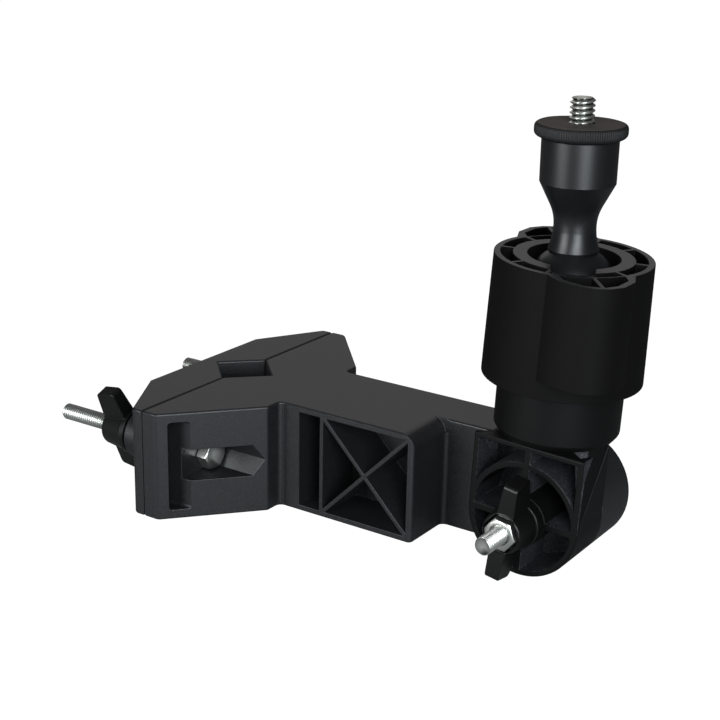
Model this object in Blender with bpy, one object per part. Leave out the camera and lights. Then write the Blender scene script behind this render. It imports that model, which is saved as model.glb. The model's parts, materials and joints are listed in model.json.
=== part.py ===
"""Trail camera mount: a two-jaw post clamp, a ribbed arm, a tilting knuckle and a locking ball head.

Metres, +Z up. The origin is on the post's axis at the clamp's underside. The arm runs along +X, and
the hinge bolt lies along Y with its wing knob towards -Y.
"""

import math

import bmesh
import bpy
from mathutils import Matrix, Vector

# Clearances
TOUCH_GAP = 0.0003
PARTING_GAP = 0.0003

# Clamp
CLAMP_HEIGHT = 0.032
CLAMP_HALF_WIDTH = 0.046
POST_HALF_DIAGONAL = 0.0104
FIXED_JAW_END = 0.005
FIXED_JAW_REACH = 0.026
FIXED_JAW_SHOULDER = 0.022
BACK_JAW_END = 0.0036
BACK_JAW_DEPTH = 0.0155
BACK_JAW_HALF_FLAT = 0.025
JAW_CORNER_RADIUS = 0.002
EDGE_CHAMFER = 0.0004

# Strap slots through both jaws
SLOT_INSET = 0.00495
SLOT_WIDTH = 0.0047
SLOT_HEIGHT = 0.0263
SLOT_CORNER_RADIUS = 0.0008

# M5 fasteners
THREAD_RADIUS = 0.0025
HEX_ACROSS_FLATS = 0.008
HEX_FIT = 0.00065
BOLT_HEAD_HEIGHT = 0.0035
NUT_HEIGHT = 0.0038
WASHER_RADIUS = 0.005
WASHER_THICKNESS = 0.0008

# Clamp bolts
BOLT_INSET = 0.018
BOLT_POCKET_FLOOR = 0.008
CLAMP_BOLT_TIP = 0.0472
JAW_BOSS_RADIUS = 0.0075
JAW_BOSS_FACE = 0.0170
FRONT_KNOB_TURN = -22.0
REAR_KNOB_TURN = 68.0

# Wing knobs
KNOB_LENGTH = 0.0096
KNOB_FLANGE_RADIUS = 0.0068
KNOB_FLANGE_HEIGHT = 0.0016
KNOB_FACE_RADIUS = 0.0056
WING_REACH = 0.01475
WING_ROOT_THICKNESS = 0.0055
WING_TIP_THICKNESS = 0.0038
WING_BACK = 0.0008
WING_SWEEP = 0.002
WING_TIP_SLOPE = 0.0013
WING_TIP_RADIUS = 0.0012
NUT_RECESS_DEPTH = 0.0032

# Arm
ARM_HALF_WIDTH = 0.0165
BOX_END = 0.071
BOX_TOP_RADIUS = 0.004
INNER_CORNER_RADIUS = 0.0015
ARM_LAND_END = 0.0328
ARM_WALL = 0.0018
ARM_WEB = 0.002
ARM_RIB = 0.0012
CELL_RIB_POSITION = 0.0405
LAND_GROOVE = 0.0005

# Hinge
HINGE_X = 0.104
HINGE_BOLT_TIP = 0.0356
HINGE_POCKET_DEPTH = 0.005
HINGE_KNOB_TURN = -9.6
HEAD_LEAN = 2.5

# Knuckle faces, on the tilting plate and on the arm's disc
PLATE_THICKNESS = 0.0152
PLATE_TOP = 0.0209
RING_WALL = 0.0016
HUB_RADIUS = 0.007
SPOKE_WIDTH = 0.0018
KNUCKLE_FLOOR = 0.0015

# Neck and threaded stub; drops are below the ball's centre
NECK_RADIUS = 0.01665
NECK_FOOT_RADIUS = 0.0155
NECK_FOOT_CHAMFER = 0.0016
STUB_BASE_DROP = 0.0213
STUB_TOP_DROP = 0.002
STUB_WALL = 0.0014
SEAT_FLOOR_DROP = 0.0148

# Ball and stem; the ball's height is above the hinge axis, and the stem's are above the ball's centre
BALL_HEIGHT = 0.0593
BALL_RADIUS = 0.012
STEM_NECK_RADIUS = 0.0063
STEM_FLARE_RADIUS = 0.00654
STEM_FLARE_HEIGHT = 0.011
STEM_WAIST_RADIUS = 0.00542
STEM_WAIST_HEIGHT = 0.0172
CONE_SLOPE = 27.0
CUP_FOOT_RADIUS = 0.00963
CUP_FOOT_HEIGHT = 0.0282
CUP_RADIUS = 0.0097
CUP_TOP = 0.0395
SEAT_RIM_DROP = 0.006
SEAT_DRAIN_RADIUS = 0.003

# Camera seat
PAD_RADIUS = 0.01166
PAD_THICKNESS = 0.0033
PAD_EDGE_RADIUS = 0.0015
STUD_RADIUS = 0.003175
STUD_PROUD = 0.0062
STUD_EMBEDDED = 0.012
STUD_POINT = 0.0006

# Locking collar; its top is above the ball's centre and its base below it
COLLAR_BASE_DROP = 0.023
COLLAR_TOP_RISE = 0.0093
COLLAR_RADIUS = 0.02046
COLLAR_DRAFT = 0.00064
COLLAR_INNER_RADIUS = 0.01875
COLLAR_GROOVE_DEPTH = 0.008
COLLAR_FLOOR = 0.002
COLLAR_WEB = 0.0012
WEB_ANGLES = (27.0, 66.0, 111.0, 145.0)
LIP_OUTER_RADIUS = 0.01566
LIP_INNER_RADIUS = 0.0119
LIP_CATCH_HEIGHT = 0.0055
NOTCH_WIDTH = 0.0109
NOTCH_DEPTH = 0.0018
NOTCH_ANGLE = -65.0

# Collar ears; offsets are from the collar's circle
EAR_BASE_RISE = 0.005
EAR_UNDERSIDE_RISE = 0.0004
EAR_ANGLE = -49.0
EAR_FOOT_ANGLE = 33.0
EAR_SHOULDER = (0.00204, 0.0095)
EAR_CHEEK = (0.00654, 0.0055)
EAR_TIP = (0.00809, 0.0017)
EAR_WALL = 0.0014
EAR_POCKET_DEPTH = 0.003
EAR_INNER_RADIUS = 0.0194
EAR_CORE_CLEARANCE = 0.0002

# Values worked out from the sizes above
MIDDLE_HEIGHT = CLAMP_HEIGHT / 2
SLOT_CENTRE = CLAMP_HALF_WIDTH - SLOT_INSET
CLAMP_BOLT_OFFSET = CLAMP_HALF_WIDTH - BOLT_INSET
DISC_RADIUS = CLAMP_HEIGHT / 2
HOLE_RADIUS = THREAD_RADIUS + TOUCH_GAP
HEX_RECESS = HEX_ACROSS_FLATS + 2 * HEX_FIT
HALF_GAP = TOUCH_GAP / 2
PASS = 0.002
PLATE_FACE = PLATE_THICKNESS + HALF_GAP
STUB_BASE = BALL_HEIGHT - STUB_BASE_DROP
STUB_TOP = BALL_HEIGHT - STUB_TOP_DROP
SEAT_FLOOR = BALL_HEIGHT - SEAT_FLOOR_DROP
COLLAR_BASE = BALL_HEIGHT - COLLAR_BASE_DROP
COLLAR_TOP = BALL_HEIGHT + COLLAR_TOP_RISE
STUB_RADIUS = LIP_OUTER_RADIUS - STUB_WALL - TOUCH_GAP
SOCKET_RADIUS = BALL_RADIUS + TOUCH_GAP

ROUND_SIDES = 48
SMALL_SIDES = 24


def clear_scene():
    """Remove whatever the scene already holds."""
    for item in list(bpy.data.objects):
        bpy.data.objects.remove(item, do_unlink=True)


def make_material(name, colour, metallic, roughness):
    """Principled material with one linear colour."""
    material = bpy.data.materials.new(name)
    material.use_nodes = True
    shader = material.node_tree.nodes["Principled BSDF"]
    shader.inputs["Base Color"].default_value = (*colour, 1.0)
    shader.inputs["Metallic"].default_value = metallic
    shader.inputs["Roughness"].default_value = roughness
    return material


def make_empty(name, parent, matrix):
    """Empty that carries pieces; its axes are set by the matrix, in its parent's frame."""
    empty = bpy.data.objects.new(name, None)
    bpy.context.scene.collection.objects.link(empty)
    empty.parent = parent
    empty.matrix_local = matrix
    return empty


def make_piece(name, mesh_data, material, parent):
    """Object from a bmesh, with smooth round faces and sharp corners."""
    mesh = bpy.data.meshes.new(name)
    mesh_data.to_mesh(mesh)
    mesh_data.free()
    mesh.shade_smooth()
    mesh.set_sharp_from_angle(angle=math.radians(35))
    piece = bpy.data.objects.new(name, mesh)
    bpy.context.scene.collection.objects.link(piece)
    piece.parent = parent
    if material is not None:
        mesh.materials.append(material)
    return piece


def boolean(target, name, mesh_data, operation):
    """Cut a shape out of a piece, or join it on; the shape stays in the scene as a guide."""
    tool = make_piece(f"{target.name}_{name}", mesh_data, None, target.parent)
    tool.hide_render = True
    tool.display_type = "WIRE"
    modifier = target.modifiers.new(name, "BOOLEAN")
    modifier.operation = operation
    modifier.solver = "EXACT"
    modifier.object = tool


def cut(target, name, mesh_data):
    boolean(target, name, mesh_data, "DIFFERENCE")


def fuse(target, name, mesh_data):
    boolean(target, name, mesh_data, "UNION")


def arc(centre, radius, start, end, steps):
    """Points along an arc in a plane, both ends included; angles in degrees."""
    points = []
    for step in range(steps + 1):
        angle = math.radians(start + (end - start) * step / steps)
        points.append((centre[0] + radius * math.cos(angle), centre[1] + radius * math.sin(angle)))
    return points


def rounded(corners, steps=4):
    """Outline from corners (u, v, radius), where a corner with a radius becomes an arc."""
    points = []
    for index, (u, v, radius) in enumerate(corners):
        corner = Vector((u, v))
        if radius == 0:
            points.append((u, v))
            continue
        before = (Vector(corners[index - 1][:2]) - corner).normalized()
        after = (Vector(corners[(index + 1) % len(corners)][:2]) - corner).normalized()
        half = before.angle(after) / 2
        centre = corner + (before + after).normalized() * radius / math.sin(half)
        start = corner + before * radius / math.tan(half) - centre
        end = corner + after * radius / math.tan(half) - centre
        sweep = math.pi - 2 * half
        for step in range(steps + 1):
            turn = sweep * step / steps
            spoke = (start * math.sin(sweep - turn) + end * math.sin(turn)) / math.sin(sweep)
            points.append(tuple(centre + spoke))
    return points


def rectangle(u_low, u_high, v_low, v_high, radius=0.0):
    """Rectangle outline, with rounded corners if a radius is given."""
    corners = [(u_low, v_low), (u_high, v_low), (u_high, v_high), (u_low, v_high)]
    return rounded([(u, v, radius) for u, v in corners])


def hexagon(across_flats, centre=(0.0, 0.0)):
    """Hexagon outline with two flats across the first direction."""
    corner_radius = across_flats / 2 / math.cos(math.radians(30))
    return arc(centre, corner_radius, 30, 330, 5)


def prism(axis, outline, start, end, chamfer=0.0):
    """Solid of a flat outline carried from start to end along an axis.

    The outline lies in XY for axis Z, in XZ for axis Y and in YZ for axis X.
    """
    place = {
        "X": lambda u, v, along: (along, u, v),
        "Y": lambda u, v, along: (u, along, v),
        "Z": lambda u, v, along: (u, v, along),
    }[axis]
    bm = bmesh.new()
    base = bm.faces.new([bm.verts.new(place(u, v, start)) for u, v in outline])
    grown = bmesh.ops.extrude_face_region(bm, geom=[base])
    moved = [item for item in grown["geom"] if isinstance(item, bmesh.types.BMVert)]
    bmesh.ops.translate(bm, vec=place(0, 0, end - start), verts=moved)
    bmesh.ops.recalc_face_normals(bm, faces=bm.faces[:])
    if chamfer:
        caps = [face for face in bm.faces if len(face.verts) == len(outline)]
        rims = list({edge for face in caps for edge in face.edges})
        bmesh.ops.bevel(bm, geom=rims, offset=chamfer, segments=1, affect="EDGES")
    return bm


def loft(loops):
    """Solid through loops of 3D points that have the same number of points each."""
    bm = bmesh.new()
    rings = [[bm.verts.new(point) for point in loop] for loop in loops]
    for lower, upper in zip(rings, rings[1:]):
        for index in range(len(lower)):
            after = (index + 1) % len(lower)
            bm.faces.new((lower[index], lower[after], upper[after], upper[index]))
    bm.faces.new(rings[0])
    bm.faces.new(rings[-1])
    bmesh.ops.recalc_face_normals(bm, faces=bm.faces[:])
    return bm


def turned(profile, sides=ROUND_SIDES, closed=False):
    """Solid of revolution about Z from (radius, height) points; a closed profile makes a ring."""
    bm = bmesh.new()
    points = [bm.verts.new((radius, 0, height)) for radius, height in profile]
    edges = [bm.edges.new(pair) for pair in zip(points, points[1:])]
    if closed:
        edges.append(bm.edges.new((points[-1], points[0])))
    bmesh.ops.spin(
        bm, geom=points + edges, cent=(0, 0, 0), axis=(0, 0, 1),
        angle=2 * math.pi, steps=sides, use_merge=True,
    )
    bmesh.ops.remove_doubles(bm, verts=bm.verts[:], dist=1e-6)
    bmesh.ops.recalc_face_normals(bm, faces=bm.faces[:])
    return bm


def turned_along(direction, profile, origin=(0, 0, 0), sides=SMALL_SIDES):
    """Solid of revolution whose heights run along a direction from an origin."""
    bm = turned(profile, sides)
    turn = Vector((0, 0, 1)).rotation_difference(Vector(direction)).to_matrix().to_4x4()
    bm.transform(Matrix.Translation(origin) @ turn)
    return bm


def cylinder(radius, start, end):
    """Profile of a plain cylinder."""
    return [(0, start), (radius, start), (radius, end), (0, end)]


def rib_cells(u_low, u_high, v_low, v_high, rib):
    """Four triangles that two crossing diagonal ribs leave in a rectangle."""
    half_u = (u_high - u_low) / 2
    half_v = (v_high - v_low) / 2
    centre_u = u_low + half_u
    centre_v = v_low + half_v
    diagonal = math.hypot(half_u, half_v)
    shift_u = rib / 2 * diagonal / half_v
    shift_v = rib / 2 * diagonal / half_u
    return [
        [(u_low, v_low + shift_v), (centre_u - shift_u, centre_v), (u_low, v_high - shift_v)],
        [(u_high, v_low + shift_v), (u_high, v_high - shift_v), (centre_u + shift_u, centre_v)],
        [(u_low + shift_u, v_low), (u_high - shift_u, v_low), (centre_u, centre_v - shift_v)],
        [(u_low + shift_u, v_high), (centre_u, centre_v + shift_v), (u_high - shift_u, v_high)],
    ]


def spoke_cells(centre, inner_radius, outer_radius, spoke_width):
    """Four ring sectors between a hub and a ring, parted by straight spokes."""
    cells = []
    outer_half = math.degrees(math.asin(spoke_width / 2 / outer_radius))
    inner_half = math.degrees(math.asin(spoke_width / 2 / inner_radius))
    for quarter in range(4):
        start = quarter * 90
        outer = arc(centre, outer_radius, start + outer_half, start + 90 - outer_half, 8)
        inner = arc(centre, inner_radius, start + 90 - inner_half, start + inner_half, 4)
        cells.append(outer + inner)
    return cells


def bolt_axis(name, place, direction):
    """Empty on a bolt's axis: local Z runs towards the bolt's tip and local X runs up."""
    along = Vector(direction)
    up = Vector((0, 0, 1))
    axes = Matrix((up, along.cross(up), along)).transposed().to_4x4()
    return make_empty(name, None, Matrix.Translation(place) @ axes)


def make_bolt(name, axis, material, head_seat, tip):
    """Hexagon bolt whose head seats at head_seat and whose shank ends at tip."""
    head_top = head_seat - BOLT_HEAD_HEIGHT
    head = prism("Z", hexagon(HEX_ACROSS_FLATS), head_top, head_seat, EDGE_CHAMFER)
    bolt = make_piece(name, head, material, axis)
    root = (head_top + head_seat) / 2
    shank = [
        (0, root), (THREAD_RADIUS, root), (THREAD_RADIUS, tip - EDGE_CHAMFER),
        (THREAD_RADIUS - EDGE_CHAMFER, tip), (0, tip),
    ]
    fuse(bolt, "shank", turned(shank, SMALL_SIDES))
    return bolt


def make_washer(name, axis, material, seat):
    """Flat ring on the bolt, from seat outwards."""
    far = seat + WASHER_THICKNESS
    section = [(HOLE_RADIUS, seat), (WASHER_RADIUS, seat), (WASHER_RADIUS, far), (HOLE_RADIUS, far)]
    return make_piece(name, turned(section, SMALL_SIDES, closed=True), material, axis)


def wing_mesh(side):
    """One wing of a knob: a flat blade that thins towards its tip, with a sloped and rounded end."""
    outline = rounded([
        (THREAD_RADIUS, WING_BACK, 0),
        (KNOB_FLANGE_RADIUS, WING_BACK, 0),
        (WING_REACH, WING_BACK + WING_SWEEP, WING_TIP_RADIUS),
        (WING_REACH - WING_TIP_SLOPE, KNOB_LENGTH, WING_TIP_RADIUS),
        (THREAD_RADIUS, KNOB_LENGTH - EDGE_CHAMFER, 0),
    ])
    loops = []
    for face in (-0.5, 0.5):
        loop = []
        for reach, height in outline:
            share = reach / WING_REACH
            thickness = WING_ROOT_THICKNESS + (WING_TIP_THICKNESS - WING_ROOT_THICKNESS) * share
            loop.append((side * reach, face * thickness, height))
        loops.append(loop)
    return loft(loops)


def make_knob(name, axis, material, seat, turn):
    """Wing knob with a round boss, two wings and a hexagon recess for its nut."""
    boss = [
        (0, 0), (KNOB_FLANGE_RADIUS, 0), (KNOB_FLANGE_RADIUS, KNOB_FLANGE_HEIGHT),
        (KNOB_FLANGE_RADIUS - EDGE_CHAMFER, KNOB_FLANGE_HEIGHT + EDGE_CHAMFER),
        (KNOB_FACE_RADIUS, KNOB_LENGTH - EDGE_CHAMFER),
        (KNOB_FACE_RADIUS - EDGE_CHAMFER, KNOB_LENGTH), (0, KNOB_LENGTH),
    ]
    carrier = make_empty(f"{name}_turn", axis, knob_place(seat, turn))
    knob = make_piece(name, turned(boss, SMALL_SIDES), material, carrier)
    fuse(knob, "wing_up", wing_mesh(1))
    fuse(knob, "wing_down", wing_mesh(-1))
    recess_floor = KNOB_LENGTH - NUT_RECESS_DEPTH
    cut(knob, "nut_recess", prism("Z", hexagon(HEX_RECESS), recess_floor, KNOB_LENGTH + PASS))
    cut(knob, "bolt_hole", turned(cylinder(HOLE_RADIUS, -PASS, KNOB_LENGTH), SMALL_SIDES))
    return carrier


def knob_place(seat, turn):
    """Place of a knob on its bolt: its distance along the bolt and its turn in degrees."""
    return Matrix.Translation((0, 0, seat)) @ Matrix.Rotation(math.radians(turn), 4, "Z")


def make_nut(name, carrier, material):
    """Hexagon nut in the knob's recess, a little proud of the knob's face."""
    seat = KNOB_LENGTH - NUT_RECESS_DEPTH + TOUCH_GAP
    blank = prism("Z", hexagon(HEX_ACROSS_FLATS), seat, seat + NUT_HEIGHT, EDGE_CHAMFER)
    nut = make_piece(name, blank, material, carrier)
    bore = cylinder(HOLE_RADIUS, seat - PASS, seat + NUT_HEIGHT + PASS)
    cut(nut, "bore", turned(bore, SMALL_SIDES))
    return nut


def make_fasteners(pattern, axis, steel, plastic, head_seat, tip, stack_face, turn):
    """Bolt, washer, wing knob and nut on one axis, stacked out from stack_face."""
    make_bolt(pattern.format("bolt"), axis, steel, head_seat, tip)
    washer_seat = stack_face + TOUCH_GAP
    make_washer(pattern.format("washer"), axis, steel, washer_seat)
    knob_seat = washer_seat + WASHER_THICKNESS + TOUCH_GAP
    carrier = make_knob(pattern.format("knob"), axis, plastic, knob_seat, turn)
    make_nut(pattern.format("nut"), carrier, steel)


def slot_outline(side):
    """Strap slot on one side, in YZ."""
    centre = side * SLOT_CENTRE
    low = MIDDLE_HEIGHT - SLOT_HEIGHT / 2
    return rectangle(
        centre - SLOT_WIDTH / 2, centre + SLOT_WIDTH / 2, low, low + SLOT_HEIGHT, SLOT_CORNER_RADIUS
    )


def pocket_outline(side):
    """Bolt pocket on one side, in YZ: half a hexagon round the bolt, open into the strap slot."""
    half = HEX_RECESS / 2
    point = CLAMP_BOLT_OFFSET - half / math.cos(math.radians(30))
    bend = CLAMP_BOLT_OFFSET - half * math.tan(math.radians(30))
    corners = [
        (SLOT_CENTRE, -half), (bend, -half), (point, 0), (bend, half), (SLOT_CENTRE, half),
    ]
    return [(side * u, MIDDLE_HEIGHT + v) for u, v in corners]


def cut_bolt_and_strap_holes(piece, start, end):
    """Bolt holes and strap slots right through a jaw, on both sides."""
    for side, word in ((-1, "front"), (1, "rear")):
        cut(piece, f"strap_slot_{word}", prism("X", slot_outline(side), start, end))
        centre = (0, side * CLAMP_BOLT_OFFSET, MIDDLE_HEIGHT)
        hole = turned_along((1, 0, 0), cylinder(HOLE_RADIUS, start, end), centre)
        cut(piece, f"bolt_hole_{word}", hole)


def body_outline():
    """Plan of the fixed jaw, the box arm and the slim arm on the hinge's far side."""
    parting = PARTING_GAP / 2
    end = HINGE_X + DISC_RADIUS
    return rounded([
        (parting, -CLAMP_HALF_WIDTH, 0),
        (FIXED_JAW_END, -CLAMP_HALF_WIDTH, JAW_CORNER_RADIUS),
        (FIXED_JAW_REACH, -FIXED_JAW_SHOULDER, INNER_CORNER_RADIUS),
        (FIXED_JAW_REACH, -ARM_HALF_WIDTH, INNER_CORNER_RADIUS),
        (BOX_END, -ARM_HALF_WIDTH, INNER_CORNER_RADIUS),
        (BOX_END, HALF_GAP, INNER_CORNER_RADIUS),
        (end, HALF_GAP, 0),
        (end, ARM_HALF_WIDTH, 0),
        (FIXED_JAW_REACH, ARM_HALF_WIDTH, INNER_CORNER_RADIUS),
        (FIXED_JAW_REACH, FIXED_JAW_SHOULDER, INNER_CORNER_RADIUS),
        (FIXED_JAW_END, CLAMP_HALF_WIDTH, JAW_CORNER_RADIUS),
        (parting, CLAMP_HALF_WIDTH, 0),
        (parting, POST_HALF_DIAGONAL - parting, 0),
        (POST_HALF_DIAGONAL, 0, 0),
        (parting, parting - POST_HALF_DIAGONAL, 0),
    ])


def make_clamp_body(plastic):
    """Fixed jaw, ribbed box arm and hinge disc, moulded in one."""
    blank = prism("Z", body_outline(), 0, CLAMP_HEIGHT, EDGE_CHAMFER)
    body = make_piece("clamp_body", blank, plastic, None)
    end = HINGE_X + DISC_RADIUS

    nose = arc((HINGE_X, MIDDLE_HEIGHT), DISC_RADIUS, 90, -90, 32)
    low, high = -PASS, CLAMP_HEIGHT + PASS
    around = [(HINGE_X, low), (end + PASS, low), (end + PASS, high), (HINGE_X, high)]
    cut(body, "round_end", prism("Y", nose + around, -PASS, ARM_HALF_WIDTH + PASS))

    corner_start = BOX_END - BOX_TOP_RADIUS
    corner = arc((corner_start, CLAMP_HEIGHT - BOX_TOP_RADIUS), BOX_TOP_RADIUS, 90, 0, 6)
    corner_end = BOX_END + INNER_CORNER_RADIUS
    above = [(corner_end, CLAMP_HEIGHT - BOX_TOP_RADIUS), (corner_end, high), (corner_start, high)]
    cut(body, "box_end_round", prism("Y", corner + above, -ARM_HALF_WIDTH - PASS, HALF_GAP))

    cut_bolt_and_strap_holes(body, -PASS, FIXED_JAW_REACH + PASS)
    for side, word in ((-1, "front"), (1, "rear")):
        pocket = prism("X", pocket_outline(side), BOLT_POCKET_FLOOR, FIXED_JAW_REACH + PASS)
        cut(body, f"bolt_pocket_{word}", pocket)
        cut_arm_cells(body, side, word)
    cut_disc_cells(body)
    return body


def cut_arm_cells(body, side, word):
    """Pocket in one side of the box arm, with one upright rib and two crossing diagonal ribs."""
    low = ARM_WALL
    high = CLAMP_HEIGHT - ARM_WALL
    upright = CELL_RIB_POSITION - ARM_RIB / 2
    cells = [rectangle(ARM_LAND_END, upright, low, high)]
    cells += rib_cells(upright + ARM_RIB, BOX_END - ARM_WALL, low, high, ARM_RIB)
    floor = side * ARM_WEB / 2
    mouth = side * (ARM_HALF_WIDTH + PASS)
    for number, cell in enumerate(cells):
        cut(body, f"arm_cell_{word}_{number}", prism("Y", cell, floor, mouth))
    groove_start = FIXED_JAW_REACH + INNER_CORNER_RADIUS
    groove = rectangle(groove_start, groove_start + LAND_GROOVE, -PASS, CLAMP_HEIGHT + PASS)
    face = side * (ARM_HALF_WIDTH - LAND_GROOVE)
    cut(body, f"land_groove_{word}", prism("Y", groove, face, mouth))


def cut_disc_cells(body):
    """Bolt hole, hexagon pocket and spoked relief on the disc's outer face."""
    centre = (HINGE_X, MIDDLE_HEIGHT)
    mouth = ARM_HALF_WIDTH + PASS
    through = cylinder(HOLE_RADIUS, -PASS, mouth)
    cut(body, "hinge_hole", turned_along((0, 1, 0), through, (HINGE_X, 0, MIDDLE_HEIGHT)))
    pocket = hexagon(HEX_RECESS, centre)
    cut(body, "hinge_pocket", prism("Y", pocket, ARM_HALF_WIDTH - HINGE_POCKET_DEPTH, mouth))
    floor = HALF_GAP + KNUCKLE_FLOOR
    cells = spoke_cells(centre, HUB_RADIUS, DISC_RADIUS - RING_WALL, SPOKE_WIDTH)
    for number, cell in enumerate(cells):
        cut(body, f"disc_cell_{number}", prism("Y", cell, floor, mouth))


def make_clamp_jaw(plastic):
    """Back jaw with its V groove, round bolt bosses and strap slots."""
    parting = -PARTING_GAP / 2
    outline = rounded([
        (parting, -CLAMP_HALF_WIDTH, 0),
        (-BACK_JAW_END, -CLAMP_HALF_WIDTH, JAW_CORNER_RADIUS),
        (-BACK_JAW_DEPTH, -BACK_JAW_HALF_FLAT, 0),
        (-BACK_JAW_DEPTH, BACK_JAW_HALF_FLAT, 0),
        (-BACK_JAW_END, CLAMP_HALF_WIDTH, JAW_CORNER_RADIUS),
        (parting, CLAMP_HALF_WIDTH, 0),
        (parting, POST_HALF_DIAGONAL + parting, 0),
        (-POST_HALF_DIAGONAL, 0, 0),
        (parting, -POST_HALF_DIAGONAL - parting, 0),
    ])
    jaw = make_piece("clamp_jaw", prism("Z", outline, 0, CLAMP_HEIGHT, EDGE_CHAMFER), plastic, None)
    for side, word in ((-1, "front"), (1, "rear")):
        centre = (0, side * CLAMP_BOLT_OFFSET, MIDDLE_HEIGHT)
        boss = cylinder(JAW_BOSS_RADIUS, BACK_JAW_DEPTH / 2, JAW_BOSS_FACE)
        fuse(jaw, f"boss_{word}", turned_along((-1, 0, 0), boss, centre))
    cut_bolt_and_strap_holes(jaw, -JAW_BOSS_FACE - PASS, PASS)
    return jaw


def corner_cells():
    """Two pockets above the ring on the knuckle plate, parted by an upright rib."""
    wall = DISC_RADIUS - RING_WALL
    top = PLATE_TOP - RING_WALL
    rib = SPOKE_WIDTH / 2
    low = math.sqrt(DISC_RADIUS ** 2 - wall ** 2)
    start = math.degrees(math.atan2(low, wall))
    end = 90 - math.degrees(math.asin(rib / DISC_RADIUS))
    right = arc((0, 0), DISC_RADIUS, start, end, 8) + [(rib, top), (wall, top)]
    left = [(-u, v) for u, v in right]
    return [right, left]


def make_tilt_base(plastic, axis):
    """Knuckle plate with a ringed and spoked face, a round neck and a stub that holds the ball's seat."""
    foot = arc((0, 0), DISC_RADIUS, 180, 360, 32)
    outline = foot + [(DISC_RADIUS, PLATE_TOP), (-DISC_RADIUS, PLATE_TOP)]
    plate = prism("Y", outline, -PLATE_FACE, -HALF_GAP, EDGE_CHAMFER)
    base = make_piece("tilt_base", plate, plastic, axis)
    neck = [
        (0, PLATE_TOP), (NECK_FOOT_RADIUS, PLATE_TOP), (NECK_RADIUS, PLATE_TOP + NECK_FOOT_CHAMFER),
        (NECK_RADIUS, STUB_BASE - EDGE_CHAMFER), (NECK_RADIUS - EDGE_CHAMFER, STUB_BASE),
        (STUB_RADIUS, STUB_BASE), (STUB_RADIUS, STUB_TOP), (STUB_RADIUS - STUB_WALL, STUB_TOP),
        (STUB_RADIUS - STUB_WALL, SEAT_FLOOR), (0, SEAT_FLOOR),
    ]
    fuse(base, "neck", turned(neck))
    floor = -HALF_GAP - KNUCKLE_FLOOR
    mouth = -PLATE_FACE - PASS
    cells = spoke_cells((0, 0), HUB_RADIUS, DISC_RADIUS - RING_WALL, SPOKE_WIDTH) + corner_cells()
    for number, cell in enumerate(cells):
        cut(base, f"face_cell_{number}", prism("Y", cell, floor, mouth))
    through = cylinder(HOLE_RADIUS, -PLATE_FACE - PASS, PASS)
    cut(base, "hinge_hole", turned_along((0, 1, 0), through))
    return base


def make_ball_seat(plastic, axis):
    """Cup that the ball turns on, inside the stub, with a drain hole."""
    outer = STUB_RADIUS - STUB_WALL - TOUCH_GAP
    base = SEAT_FLOOR + TOUCH_GAP
    rim_angle = -math.degrees(math.asin(SEAT_RIM_DROP / SOCKET_RADIUS))
    drain_angle = -math.degrees(math.acos(SEAT_DRAIN_RADIUS / SOCKET_RADIUS))
    cup = arc((0, BALL_HEIGHT), SOCKET_RADIUS, rim_angle, drain_angle, 6)
    section = [(SEAT_DRAIN_RADIUS, base), (outer, base), (outer, BALL_HEIGHT - SEAT_RIM_DROP)]
    return make_piece("ball_seat", turned(section + cup, closed=True), plastic, axis)


def ear_outline(growth, inset=0.0):
    """Half of an ear's outline, from its tip to its foot, in its own frame (along, across)."""
    radius = COLLAR_RADIUS + growth - inset
    corners = [(radius + along, across - inset) for along, across in (EAR_TIP, EAR_CHEEK, EAR_SHOULDER)]
    foot = math.radians(EAR_FOOT_ANGLE)
    corners.append((radius * math.cos(foot), radius * math.sin(foot)))
    return corners


def turned_points(points, angle):
    """Points turned about the origin by an angle in degrees."""
    cosine = math.cos(math.radians(angle))
    sine = math.sin(math.radians(angle))
    return [(u * cosine - v * sine, u * sine + v * cosine) for u, v in points]


def collar_outline(growth):
    """Plan of the collar: a circle with two opposite ears."""
    half = ear_outline(growth)
    ear = [(u, -v) for u, v in reversed(half)] + half
    side = arc((0, 0), COLLAR_RADIUS + growth, EAR_FOOT_ANGLE, 180 - EAR_FOOT_ANGLE, 24)[1:-1]
    lobe = ear + side
    return turned_points(lobe, EAR_ANGLE) + turned_points(lobe, EAR_ANGLE + 180)


def sleeve_outline(growth):
    """Plan of the collar below its ears: the same points, brought in to the circle."""
    radius = COLLAR_RADIUS + growth
    return [tuple(Vector(point).normalized() * radius) for point in collar_outline(growth)]


def ring_sector(inner_radius, outer_radius, start, end):
    """Outline of a ring's sector between two angles."""
    steps = max(2, round((end - start) / 8))
    return arc((0, 0), outer_radius, start, end, steps) + arc((0, 0), inner_radius, end, start, steps)


def groove_sectors():
    """Stretches of the collar's top groove, between its webs."""
    stops = [EAR_ANGLE + turn + angle for turn in (0, 180) for angle in WEB_ANGLES]
    half = math.degrees(COLLAR_WEB / 2 / COLLAR_INNER_RADIUS)
    ends = stops[1:] + [stops[0] + 360]
    return [
        ring_sector(LIP_OUTER_RADIUS, COLLAR_INNER_RADIUS, start + half, end - half)
        for start, end in zip(stops, ends)
    ]


def ear_pockets(turn, inner_radius):
    """Two hollows of one ear outside a radius, each side of its middle web."""
    inner = math.radians(EAR_FOOT_ANGLE - math.degrees(2 * EAR_WALL / COLLAR_RADIUS))
    foot = (inner_radius * math.cos(inner), inner_radius * math.sin(inner))
    tip, cheek, shoulder = ear_outline(0, EAR_WALL)[:3]
    web = COLLAR_WEB / 2
    root = (math.sqrt(inner_radius ** 2 - web ** 2), web)
    middle = turned_points([(inner_radius, 0)], math.degrees(inner) / 2)[0]
    half = [root, (tip[0], web), (cheek[0], cheek[1]), shoulder, foot, middle]
    return [turned_points(half, turn), turned_points([(u, -v) for u, v in half], turn)]


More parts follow.
